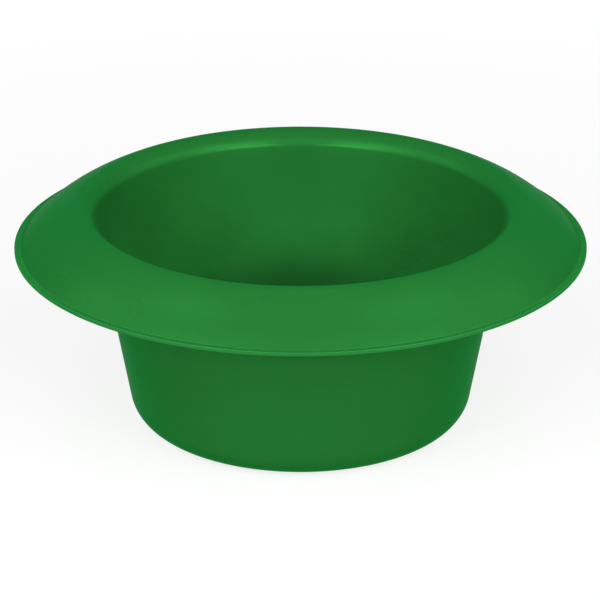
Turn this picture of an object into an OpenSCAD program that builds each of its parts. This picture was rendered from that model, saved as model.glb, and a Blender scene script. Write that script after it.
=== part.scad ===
// Rubber feed tub: a tapered bowl with a rolled mouth and a wide domed brim that ends in a flat lip.
// The tub is one moulding of even thickness. It is drawn as six rings and discs, each one plain zone of its
// section, that meet face to face: base, heel, side wall, shoulder, brim and lip.
// Millimetres, +Z up. The origin is the middle of the underside, where the tub stands.

/* [Bowl] */
// Outside diameter at the ground, where the straight line of the side wall would meet it
base_d = 291.5; // [220:0.5:380]
// Height from the ground to the crest of the mouth
height = 198.5; // [150:0.5:260]
// Lean of the side wall, in degrees from upright
draft = 10.6; // [5:0.1:15]
// Thickness of the moulding, all over
wall = 3.25; // [2.5:0.25:5]
// Inside radius of the heel, the round between the base and the side wall
heel_r = 26; // [12:0.5:40]

/* [Brim] */
// Width of the brim, measured level from the crest of the mouth to the outside of the lip
brim_w = 57; // [48:0.5:72]
// Drop from the crest of the mouth to the flat underside of the lip
brim_drop = 38; // [31:0.5:50]
// Radius of the dome across the top of the brim
brim_r = 125; // [90:1:200]
// Radius of the shoulder, the roll between the side wall and the brim, on its underside
shoulder_r = 12.75; // [8:0.25:16]

/* [Lip] */
// Radius of the bend between the brim and the lip, on its top
lip_r = 0.5; // [0.25:0.25:4]
// Flat width of the lip, from that bend to the round of its outer corners
lip_w = 4.5; // [2:0.25:10]
// Radius of the lip's two outer corners
edge_r = 0.5; // [0.25:0.25:1]

/* [Hidden] */
$fn = 180;
tub_green = "#22762f";

// A half section of the tub lies in the plane of radius and height. Each round is centred on one point
// there, and runs from its inner radius to an outer radius that is one wall more.
heel_out_r = heel_r + wall;
shoulder_out_r = shoulder_r + wall;
lip_out_r = lip_r + wall;

// Centre of the heel: the outer round touches the ground and the outside of the side wall
heel_c = [base_d / 2 - heel_out_r * (1 - sin(draft)) / cos(draft), heel_out_r];
// Centre of the shoulder: the outer round reaches the crest, the inner one touches the side wall's outside
shoulder_z = height - shoulder_out_r;
shoulder_c = [base_d / 2 + shoulder_z * tan(draft) + shoulder_r / cos(draft), shoulder_z];
// Centre of the lip's bend, which lies above the moulding: the upright edge of the lip reaches the outside
lip_c = [shoulder_c.x + brim_w - edge_r - lip_w, height - brim_drop + lip_out_r];

// Centre of the brim's dome, which runs on smoothly from the shoulder's round and into the lip's bend the
// other way: it lies where two circles cross, one about each of those centres.
shoulder_reach = brim_r - shoulder_out_r;
lip_reach = brim_r + lip_r;
span = norm(lip_c - shoulder_c);
along = (lip_c - shoulder_c) / span;
below = [along.y, -along.x];
foot = (pow(shoulder_reach, 2) - pow(lip_reach, 2) + pow(span, 2)) / (2 * span);
brim_c = shoulder_c + foot * along + sqrt(pow(shoulder_reach, 2) - pow(foot, 2)) * below;

// Directions, in degrees up from level, in which one zone ends and the next begins
wall_foot_a = -draft;
wall_top_a = 180 - draft;
brim_top_a = bearing(brim_c, shoulder_c);
brim_edge_a = bearing(brim_c, lip_c);
lip_foot_a = brim_edge_a - 180;

function bearing(from, to) = atan2(to.y - from.y, to.x - from.x);
function at(centre, radius, angle) = centre + radius * [cos(angle), sin(angle)];

// Section of a round: the part of a flat ring, one wall thick, between two directions from its centre
module round_section(centre, inner_r, from_a, to_a) {
    outer_r = inner_r + wall;
    mid_a = (from_a + to_a) / 2;
    translate(centre)
        intersection() {
            difference() {
                circle(outer_r);
                circle(inner_r);
            }
            polygon(concat([[0, 0]], [for (a = [from_a, mid_a, to_a]) at([0, 0], 2 * outer_r, a)]));
        }
}

// Flat floor of the tub, which stands on the ground
module base() {
    color(tub_green)
        cylinder(r = heel_c.x, h = wall);
}

// Round between the base and the side wall
module heel() {
    color(tub_green)
        rotate_extrude()
            round_section(heel_c, heel_r, -90, wall_foot_a);
}

// Tapered side of the bowl
module side_wall() {
    color(tub_green)
        rotate_extrude()
            polygon([
                at(heel_c, heel_r, wall_foot_a),
                at(heel_c, heel_out_r, wall_foot_a),
                at(shoulder_c, shoulder_r, wall_top_a),
                at(shoulder_c, shoulder_out_r, wall_top_a)
            ]);
}

// Roll over the crest, from the side wall to the brim
module shoulder() {
    color(tub_green)
        rotate_extrude()
            round_section(shoulder_c, shoulder_r, brim_top_a, wall_top_a);
}

// Wide domed brim that droops outwards
module brim() {
    color(tub_green)
        rotate_extrude()
            round_section(brim_c, brim_r - wall, brim_edge_a, brim_top_a);
}

// Edge of the brim: a bend outwards, a narrow flat and an upright edge with round corners
module lip() {
    color(tub_green)
        rotate_extrude()
            translate(lip_c) {
                round_section([0, 0], lip_r, lip_foot_a, -90);
                translate([0, -lip_out_r]) {
                    square([lip_w, wall]);
                    translate([0, edge_r])
                        square([lip_w + edge_r, wall - 2 * edge_r]);
                    for (z = [edge_r, wall - edge_r])
                        translate([lip_w, z])
                            circle(edge_r);
                }
            }
}

base();
heel();
side_wall();
shoulder();
brim();
lip();
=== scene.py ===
"""Looks of a green rubber feed tub: a tapered bowl with a rolled mouth and a wide domed brim.

The tub is one moulding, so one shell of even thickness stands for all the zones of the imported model.
Metres, +Z up. The tub stands on the origin, and the camera looks along +Y.
"""

import math

import bmesh
import bpy
from mathutils import Matrix, Vector


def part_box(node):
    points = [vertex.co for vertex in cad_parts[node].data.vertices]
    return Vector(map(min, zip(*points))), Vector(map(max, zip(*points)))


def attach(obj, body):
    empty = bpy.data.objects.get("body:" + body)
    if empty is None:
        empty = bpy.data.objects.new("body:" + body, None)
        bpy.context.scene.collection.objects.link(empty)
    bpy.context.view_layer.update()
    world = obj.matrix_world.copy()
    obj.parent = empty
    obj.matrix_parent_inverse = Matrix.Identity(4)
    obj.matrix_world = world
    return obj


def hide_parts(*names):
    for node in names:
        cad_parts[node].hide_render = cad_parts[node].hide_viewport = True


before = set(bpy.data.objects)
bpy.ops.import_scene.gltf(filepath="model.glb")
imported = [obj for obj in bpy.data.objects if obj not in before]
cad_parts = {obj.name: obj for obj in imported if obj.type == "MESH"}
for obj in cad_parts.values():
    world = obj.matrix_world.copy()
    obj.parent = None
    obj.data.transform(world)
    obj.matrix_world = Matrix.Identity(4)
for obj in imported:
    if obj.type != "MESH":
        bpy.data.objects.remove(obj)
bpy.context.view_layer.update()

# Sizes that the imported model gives
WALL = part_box("base")[1].z
FLOOR_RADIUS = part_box("base")[1].x
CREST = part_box("shoulder")[1].z
LIP_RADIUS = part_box("lip")[1].x
LIP_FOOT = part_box("lip")[0].z

# Sizes of the section that its boxes don't show, as in the part's source
DRAFT = math.radians(10.6)
HEEL_R = 0.026
SHOULDER_R = 0.01275
BRIM_R = 0.125
LIP_R = 0.0005
LIP_FLAT = 0.0045
EDGE_R = 0.0005

# How finely the rounds and lines are drawn
TURN_STEPS = 256
HEEL_STEPS = 20
SHOULDER_STEPS = 30
BRIM_STEPS = 20
LIP_STEPS = 10
EDGE_STEPS = 6
STRAIGHT_STEPS = 12
LIP_LINE_STEPS = 2
MERGE_DISTANCE = 0.000001

# Colours of the rubber, linear. The moulded greens and the scuffed green are the rubber's own; the others
# are painted light, painted shade and a painted highlight
FRESH_GREEN = (0.0200, 0.205, 0.0358, 1)
DEEP_GREEN = (0.0180, 0.185, 0.0315, 1)
# Painted light: the lip's lighter green
LIP_LIGHTENED_GREEN = (0.0240, 0.222, 0.0415, 1)
# Painted light in the groove behind the lip
GROOVE_LIGHTENED_GREEN = (0.0280, 0.262, 0.0490, 1)
# Painted light inside the bowl
BOWL_LIGHTENED_GREEN = (0.0330, 0.285, 0.0530, 1)
# Painted highlight along the lip's upper corner
EDGE_HIGHLIGHT_GREEN = (0.0270, 0.275, 0.0660, 1)
# Painted shade on the brim and the outside
OUTSIDE_SHADED_GREEN = (0.0170, 0.145, 0.0250, 1)
SCUFFED_GREEN = (0.0300, 0.170, 0.0430, 1)

# Gloss of the rubber: it takes the rubber's own green and does not whiten at a low angle
GLOSS = 0.25
SHEEN_TINT = (0.35, 1.0, 0.55, 1)
SMOOTH = 0.27
ROUGH = 0.32

# Textures: repeats in a metre, and the depth of the two that are felt
MOTTLE_SCALE = 14
PEEL_SCALE = 190
PEEL_DEPTH = 0.0002
GRAIN_SCALE = 1300
GRAIN_DEPTH = 0.00006
MOTTLE_LOW = 0.3
MOTTLE_HIGH = 0.7

# Painted light and shade, and the heel's wear: how far each kind reaches, and the share of the changed
# colour
LIP_LIGHT_FADE = 0.0008
GROOVE_LIGHT_FULL = 0.001
BOWL_LIGHT_TOP = 0.012
BOWL_LIGHT_FULL = 0.08
OUTSIDE_SHADE_TOP = 0.008
OUTSIDE_SHADE_FULL = 0.006
LEAST_PAINTED_SHARE = 0.2
PATCHY_PAINTED_SHARE = 0.3
SCUFF_TOP = 0.006
SCUFF_FULL = 0.001
SCUFF_LOW = 0.42
SCUFF_HIGH = 0.62

# The camera, at the photograph's angle
VIEW_AIM = Vector((-0.00044, 0, 0.10758))
VIEW_DISTANCE = 3.6724
VIEW_ELEVATION = 22.426
VIEW_LENS = 250.47
VIEW_SENSOR = 36

# Light, for a level at which colours render about as they are written. Each softbox stands left and right:
# azimuth from the camera's side, elevation, distance, width, height and power.
LIGHT_AIM = Vector((0, 0, 0.12))
DOME_STRENGTH = 0.13
SOFTBOXES = {
    "strip": (29, 21, 2.2, 1.1, 0.13, 9),
    "front": (47, 34, 2.2, 1.4, 1.2, 13),
    "high": (20, 45, 2.2, 1.2, 1.2, 3),
    "side": (96, 31, 2.2, 1.2, 1.2, 4.5),
    "top": (70, 58, 0.8, 0.3, 0.3, 0.26),
}

# The floor, and how far from the tub it fades into the white backdrop
WHITE = (1, 1, 1, 1)
FLOOR_REACH = 8
FLOOR_COLOUR = (0.8, 0.8, 0.8, 1)
FLOOR_GLOW = 0.79
FLOOR_SHADE = (0.31, 0.31, 0.31, 1)
FADE_START = 0.35
FADE_END = 1.1


# The tub's half section, drawn with one pen that starts in the middle of the bowl's floor and ends in the
# middle of the underside. It lies in the XZ plane, and the spin about Z makes it the tub.

def at(centre, radius, angle):
    """Point of the section at that distance and angle from a round's centre."""
    return centre + radius * Vector((math.cos(angle), 0, math.sin(angle)))


def bearing(start, end):
    """Angle, up from level, of the way from one point of the section to another."""
    way = end - start
    return math.atan2(way.z, way.x)


def straight(section, tip, end, steps):
    """Draws a straight line from the tip in that many steps, and gives the new tip."""
    step = (end - tip.co) / steps
    for _ in range(steps):
        drawn = bmesh.ops.extrude_vert_indiv(section, verts=[tip])
        tip = drawn["verts"][0]
        bmesh.ops.translate(section, verts=[tip], vec=step)
    return tip


def turn(section, tip, centre, angle, steps):
    """Draws a round about a centre from the tip, upwards from +X where the angle is positive."""
    drawn = bmesh.ops.spin(
        section, geom=[tip], cent=centre, axis=(0, -1, 0), angle=angle, steps=steps, space=Matrix()
    )
    return next(part for part in drawn["geom_last"] if isinstance(part, bmesh.types.BMVert))


def draw_section(section):
    """Draws the whole half section of the tub, inside first, and leaves it as a chain of edges."""
    heel_out_r = HEEL_R + WALL
    shoulder_out_r = SHOULDER_R + WALL
    lip_out_r = LIP_R + WALL
    right = math.radians(90)
    half_turn = math.radians(180)

    # Centres of the rounds
    heel = Vector((FLOOR_RADIUS, 0, heel_out_r))
    ground_radius = heel.x + heel_out_r * (1 - math.sin(DRAFT)) / math.cos(DRAFT)
    shoulder_z = CREST - shoulder_out_r
    shoulder_x = ground_radius + shoulder_z * math.tan(DRAFT) + SHOULDER_R / math.cos(DRAFT)
    shoulder = Vector((shoulder_x, 0, shoulder_z))
    upper_corner = Vector((LIP_RADIUS - EDGE_R, 0, LIP_FOOT + WALL - EDGE_R))
    lower_corner = Vector((LIP_RADIUS - EDGE_R, 0, LIP_FOOT + EDGE_R))
    lip = Vector((upper_corner.x - LIP_FLAT, 0, LIP_FOOT + lip_out_r))

    # The brim's dome runs on smoothly from the shoulder's round and into the lip's bend the other way
    shoulder_reach = BRIM_R - shoulder_out_r
    lip_reach = BRIM_R + LIP_R
    span = (lip - shoulder).length
    along = (lip - shoulder) / span
    below = Vector((along.z, 0, -along.x))
    foot = (shoulder_reach**2 - lip_reach**2 + span**2) / (2 * span)
    brim = shoulder + foot * along + math.sqrt(shoulder_reach**2 - foot**2) * below

    # Angles that each round sweeps
    heel_sweep = right - DRAFT
    shoulder_sweep = half_turn - DRAFT - bearing(brim, shoulder)
    brim_sweep = bearing(brim, shoulder) - bearing(brim, lip)
    lip_sweep = right - bearing(brim, lip)
    wall_foot = -DRAFT
    wall_top = half_turn - DRAFT

    # Inside of the bowl, over the crest and out to the lip
    tip = section.verts.new((0, 0, WALL))
    tip = straight(section, tip, Vector((heel.x, 0, WALL)), STRAIGHT_STEPS)
    tip = turn(section, tip, heel, heel_sweep, HEEL_STEPS)
    tip = straight(section, tip, at(shoulder, shoulder_out_r, wall_top), STRAIGHT_STEPS)
    tip = turn(section, tip, shoulder, -shoulder_sweep, SHOULDER_STEPS)
    tip = turn(section, tip, brim, -brim_sweep, BRIM_STEPS)
    tip = turn(section, tip, lip, lip_sweep, LIP_STEPS)

    # Round the upright edge of the lip
    tip = straight(section, tip, at(upper_corner, EDGE_R, right), LIP_LINE_STEPS)
    tip = turn(section, tip, upper_corner, -right, EDGE_STEPS)
    tip = straight(section, tip, at(lower_corner, EDGE_R, 0), LIP_LINE_STEPS)
    tip = turn(section, tip, lower_corner, -right, EDGE_STEPS)
    tip = straight(section, tip, at(lip, lip_out_r, -right), LIP_LINE_STEPS)

    # Underside of the brim, down the outside and under the base
    tip = turn(section, tip, lip, -lip_sweep, LIP_STEPS)
    tip = turn(section, tip, brim, brim_sweep, BRIM_STEPS)
    tip = turn(section, tip, shoulder, shoulder_sweep, SHOULDER_STEPS)
    tip = straight(section, tip, at(heel, heel_out_r, wall_foot), STRAIGHT_STEPS)
    tip = turn(section, tip, heel, -heel_sweep, HEEL_STEPS)
    straight(section, tip, Vector((0, 0, 0)), STRAIGHT_STEPS)


def mould_tub():
    """The tub as one closed shell, turned from its half section."""
    shell = bmesh.new()
    draw_section(shell)
    bmesh.ops.spin(
        shell,
        geom=shell.verts[:] + shell.edges[:],
        cent=(0, 0, 0),
        axis=(0, 0, 1),
        angle=math.radians(360),
        steps=TURN_STEPS,
        use_merge=True,
    )
    bmesh.ops.remove_doubles(shell, verts=shell.verts, dist=MERGE_DISTANCE)
    bmesh.ops.recalc_face_normals(shell, faces=shell.faces)

    # The spin makes the faces in no fixed order, so they are put in the order of their corners
    shell.verts.index_update()
    ordered = sorted(shell.faces, key=lambda face: sorted(corner.index for corner in face.verts))
    for number, face in enumerate(ordered):
        face.smooth = True
        face.index = number
    shell.faces.sort()

    mesh = bpy.data.meshes.new("tub")
    shell.to_mesh(mesh)
    shell.free()
    tub = bpy.data.objects.new("tub", mesh)
    bpy.context.scene.collection.objects.link(tub)
    return tub


# Nodes

def feed(tree, socket, value):
    """Links the value to the socket where it is another node's output, and sets it otherwise."""
    if isinstance(value, bpy.types.NodeSocket):
        tree.links.new(value, socket)
    else:
        socket.default_value = value


def node(tree, kind, settings=(), **inputs):
    """Adds a node with those settings, and sets or links the inputs that are named."""
    made = tree.nodes.new(kind)
    for name, value in dict(settings).items():
        setattr(made, name, value)
    for name, value in inputs.items():
        feed(tree, made.inputs[name.replace("_", " ")], value)
    return made


def mixed(tree, share, first, second):
    """Colour that runs from the first to the second with the share."""
    mix = node(tree, "ShaderNodeMix", {"data_type": "RGBA"})
    feed(tree, mix.inputs[0], share)
    feed(tree, mix.inputs[6], first)
    feed(tree, mix.inputs[7], second)
    return mix.outputs[2]


def blended(tree, share, first, second):
    """Shader that runs from the first to the second with the share."""
    mix = node(tree, "ShaderNodeMixShader")
    feed(tree, mix.inputs[0], share)
    feed(tree, mix.inputs[1], first)
    feed(tree, mix.inputs[2], second)
    return mix.outputs[0]


def reckon(tree, operation, first, second=0):
    """Result of a sum on two values, or on one."""
    made = node(tree, "ShaderNodeMath", {"operation": operation})
    feed(tree, made.inputs[0], first)
    feed(tree, made.inputs[1], second)
    return made.outputs["Value"]


def both(tree, first, second):
    """Share that is full only where both shares are."""
    return reckon(tree, "MULTIPLY", first, second)


def ramp(tree, value, none, full, least=0, most=1):
    """Runs evenly from the least to the most as the value goes from none to full."""
    made = node(tree, "ShaderNodeMapRange", Value=value, From_Min=none, From_Max=full)
    made.inputs["To Min"].default_value = least
    made.inputs["To Max"].default_value = most
    return made.outputs["Result"]


def length(tree, vector):
    """Length of a vector."""
    made = node(tree, "ShaderNodeVectorMath", {"operation": "LENGTH"})
    tree.links.new(vector, made.inputs[0])
    return made.outputs["Value"]


def noise(tree, place, scale, detail, roughness):
    """Even random pattern, from 0 to 1."""
    made = node(tree, "ShaderNodeTexNoise", Vector=place, Scale=scale, Detail=detail, Roughness=roughness)
    return made.outputs["Fac"]


# The tub's material

def distance_from_heel(tree, radius, height):
    """How far a point lies from the middle of the heel's round, with the side wall's lean taken off."""
    heel_height = HEEL_R + WALL
    above_heel = reckon(tree, "MAXIMUM", reckon(tree, "SUBTRACT", height, heel_height), 0)
    below_heel = reckon(tree, "MAXIMUM", reckon(tree, "SUBTRACT", heel_height, height), 0)
    upright = reckon(tree, "SUBTRACT", radius, reckon(tree, "MULTIPLY", above_heel, math.tan(DRAFT)))
    past_floor = reckon(tree, "MAXIMUM", reckon(tree, "SUBTRACT", upright, FLOOR_RADIUS), 0)
    squares = reckon(tree, "ADD", reckon(tree, "POWER", past_floor, 2), reckon(tree, "POWER", below_heel, 2))
    return reckon(tree, "SQRT", squares)


def painted_and_worn_green(tree, place, mottle, peel):
    """Colour of the rubber, with its mottle, its painted light and shade, and the heel's wear."""
    flat_place = node(tree, "ShaderNodeVectorMath", {"operation": "MULTIPLY"})
    tree.links.new(place, flat_place.inputs[0])
    flat_place.inputs[1].default_value = (1, 1, 0)
    radius = length(tree, flat_place.outputs["Vector"])
    height = node(tree, "ShaderNodeSeparateXYZ", Vector=place).outputs["Z"]

    # The lip is painted lighter all along, and a painted highlight runs along its upper corner
    lip_start = LIP_RADIUS - EDGE_R - LIP_FLAT
    lip_top = LIP_FOOT + WALL
    lip_painted_light = ramp(tree, radius, lip_start - LIP_LIGHT_FADE, lip_start + 0.25 * LIP_LIGHT_FADE)
    at_rim = ramp(tree, radius, LIP_RADIUS - 2 * EDGE_R, LIP_RADIUS - EDGE_R)
    at_top = ramp(tree, height, lip_top - EDGE_R, lip_top - 0.4 * EDGE_R)
    edge_highlight = both(tree, at_rim, at_top)

    # The groove behind it is painted lighter, as painted light where its shade falls
    into_groove = ramp(tree, radius, lip_start - LIP_LIGHT_FADE, lip_start)
    out_of_groove = ramp(tree, radius, lip_start + LIP_FLAT, lip_start + GROOVE_LIGHT_FULL)
    above_lip = ramp(tree, height, lip_top - 2 * EDGE_R, lip_top - EDGE_R)
    groove_light = both(tree, both(tree, into_groove, out_of_groove), above_lip)

    # The inside of the bowl is painted a little lighter, as painted light where its shade falls, and painted
    # shade darkens the brim and the outside towards the ground
    from_heel = distance_from_heel(tree, radius, height)
    in_bowl = ramp(tree, from_heel, HEEL_R + 0.6 * WALL, HEEL_R + 0.4 * WALL)
    bowl_painted_light = both(tree, in_bowl, ramp(tree, height, CREST - BOWL_LIGHT_TOP, CREST - BOWL_LIGHT_FULL))
    out_of_bowl = reckon(tree, "SUBTRACT", 1, in_bowl)
    outside_painted_shade = both(tree, out_of_bowl, ramp(tree, height, CREST - OUTSIDE_SHADE_TOP, LIP_FOOT + OUTSIDE_SHADE_FULL))
    # The painted light in the bowl and the painted shade outside come in patches with the mottle
    patchy = ramp(tree, mottle, MOTTLE_LOW, MOTTLE_HIGH, LEAST_PAINTED_SHARE, LEAST_PAINTED_SHARE + PATCHY_PAINTED_SHARE)

    # The heel is scuffed in patches where it slides on the ground
    near_ground = ramp(tree, height, SCUFF_TOP, SCUFF_FULL)
    scuff = both(tree, near_ground, ramp(tree, peel, SCUFF_LOW, SCUFF_HIGH))

    moulded = mixed(tree, mottle, DEEP_GREEN, FRESH_GREEN)
    # Painted shade on the brim and the outside
    outside_shaded = mixed(tree, both(tree, outside_painted_shade, patchy), moulded, OUTSIDE_SHADED_GREEN)
    # Painted light inside the bowl
    bowl_lightened = mixed(tree, both(tree, bowl_painted_light, patchy), outside_shaded, BOWL_LIGHTENED_GREEN)
    # Painted light on the lip
    lip_lightened = mixed(tree, lip_painted_light, bowl_lightened, LIP_LIGHTENED_GREEN)
    # Painted light in the groove behind the lip
    groove_lightened = mixed(tree, groove_light, lip_lightened, GROOVE_LIGHTENED_GREEN)
    # Painted highlight on the lip's upper corner
    edge_highlighted = mixed(tree, edge_highlight, groove_lightened, EDGE_HIGHLIGHT_GREEN)
    return mixed(tree, scuff, edge_highlighted, SCUFFED_GREEN)


def green_rubber():
    """Moulded green rubber: satin, with a fine grain, a faint mottle, painted light and shade, and a little
    wear at the heel.
    """
    material = bpy.data.materials.new("moulded_green_rubber")
    material.use_nodes = True
    tree = material.node_tree
    tree.nodes.clear()

    place = node(tree, "ShaderNodeTexCoord").outputs["Object"]
    mottle = noise(tree, place, MOTTLE_SCALE, 4, 0.55)
    peel = noise(tree, place, PEEL_SCALE, 2, 0.5)
    grain = noise(tree, place, GRAIN_SCALE, 2, 0.6)

    peel_bump = node(tree, "ShaderNodeBump", Height=peel, Strength=0.3, Distance=PEEL_DEPTH)
    felt = peel_bump.outputs["Normal"]
    grain_bump = node(tree, "ShaderNodeBump", Height=grain, Strength=0.25, Distance=GRAIN_DEPTH, Normal=felt)
    rubber = node(
        tree,
        "ShaderNodeBsdfPrincipled",
        Base_Color=painted_and_worn_green(tree, place, mottle, peel),
        Roughness=ramp(tree, mottle, MOTTLE_LOW, MOTTLE_HIGH, SMOOTH, ROUGH),
        Normal=grain_bump.outputs["Normal"],
        Metallic=GLOSS,
        Specular_IOR_Level=0.0,
        Specular_Tint=SHEEN_TINT,
    )
    node(tree, "ShaderNodeOutputMaterial", Surface=rubber.outputs["BSDF"])
    return material


# The studio

def seen_directly(tree):
    """1 for what the camera sees, straight or in a reflection, and 0 for light that bounces."""
    path = node(tree, "ShaderNodeLightPath").outputs
    seen = reckon(tree, "MAXIMUM", path["Is Camera Ray"], path["Is Glossy Ray"])
    return reckon(tree, "MAXIMUM", seen, path["Is Transmission Ray"])


def studio_floor():
    """White floor that keeps a light shadow of the tub, and fades into the white backdrop away from it."""
    material = bpy.data.materials.new("studio_floor")
    material.use_nodes = True
    tree = material.node_tree
    tree.nodes.clear()
    paint = node(tree, "ShaderNodeBsdfDiffuse", Color=FLOOR_COLOUR)
    shade = node(tree, "ShaderNodeBsdfDiffuse", Color=FLOOR_SHADE)
    glow = node(tree, "ShaderNodeEmission", Color=WHITE, Strength=FLOOR_GLOW)
    near = node(tree, "ShaderNodeAddShader")
    tree.links.new(shade.outputs[0], near.inputs[0])
    tree.links.new(glow.outputs[0], near.inputs[1])
    backdrop = node(tree, "ShaderNodeEmission", Color=WHITE, Strength=1)
    from_tub = length(tree, node(tree, "ShaderNodeTexCoord").outputs["Object"])
    fade = ramp(tree, from_tub, FADE_START, FADE_END)
    shown = blended(tree, fade, near.outputs[0], backdrop.outputs[0])
    floor = blended(tree, seen_directly(tree), paint.outputs[0], shown)
    node(tree, "ShaderNodeOutputMaterial", Surface=floor)
    return material


def lay_floor():
    """Level floor under the tub."""
    sheet = bmesh.new()
    bmesh.ops.create_grid(sheet, x_segments=1, y_segments=1, size=FLOOR_REACH)
    mesh = bpy.data.meshes.new("floor")
    sheet.to_mesh(mesh)
    sheet.free()
    mesh.materials.append(studio_floor())
    floor = bpy.data.objects.new("floor", mesh)
    bpy.context.scene.collection.objects.link(floor)


def direction(azimuth, elevation):
    """Way out from the tub: azimuth from the camera's side, to the right where positive, in degrees."""
    a = math.radians(azimuth)
    e = math.radians(elevation)
    return Vector((math.sin(a) * math.cos(e), -math.cos(a) * math.cos(e), math.sin(e)))


def softbox(name, azimuth, elevation, distance, width, height, power):
    """Soft light that faces the tub."""
    lamp = bpy.data.lights.new(name, "AREA")
    lamp.shape = "RECTANGLE"
    lamp.size = width
    lamp.size_y = height
    lamp.energy = power
    box = bpy.data.objects.new(name, lamp)
    box.location = LIGHT_AIM + distance * direction(azimuth, elevation)
    box.rotation_euler = (LIGHT_AIM - box.location).to_track_quat("-Z", "Y").to_euler()
    bpy.context.scene.collection.objects.link(box)


def light_studio():
    """White dome all round, and softboxes in pairs, left and right alike."""
    world = bpy.data.worlds.new("studio")
    bpy.context.scene.world = world
    world.use_nodes = True
    tree = world.node_tree
    tree.nodes.clear()
    dome = node(tree, "ShaderNodeBackground", Color=WHITE, Strength=DOME_STRENGTH)
    backdrop = node(tree, "ShaderNodeBackground", Color=WHITE, Strength=1)
    sky = blended(tree, seen_directly(tree), dome.outputs[0], backdrop.outputs[0])
    node(tree, "ShaderNodeOutputWorld", Surface=sky)

    for side, hand in ((-1, "left"), (1, "right")):
        for name, (azimuth, *rest) in SOFTBOXES.items():
            softbox(f"{name}_{hand}", side * azimuth, *rest)


def place_camera():
    """Camera at the photograph's angle, far off with a long lens."""
    lens = bpy.data.cameras.new("camera")
    lens.lens = VIEW_LENS
    lens.sensor_width = VIEW_SENSOR
    camera = bpy.data.objects.new("camera", lens)
    camera.location = VIEW_AIM + VIEW_DISTANCE * direction(0, VIEW_ELEVATION)
    camera.rotation_euler = (math.radians(90 - VIEW_ELEVATION), 0, 0)
    bpy.context.scene.collection.objects.link(camera)
    bpy.context.scene.camera = camera


bpy.context.scene.view_settings.view_transform = "Standard"

tub = mould_tub()
tub.data.materials.append(green_rubber())
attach(tub, "root")
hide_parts("base", "heel", "side_wall", "shoulder", "brim", "lip")

lay_floor()
light_studio()
place_camera()
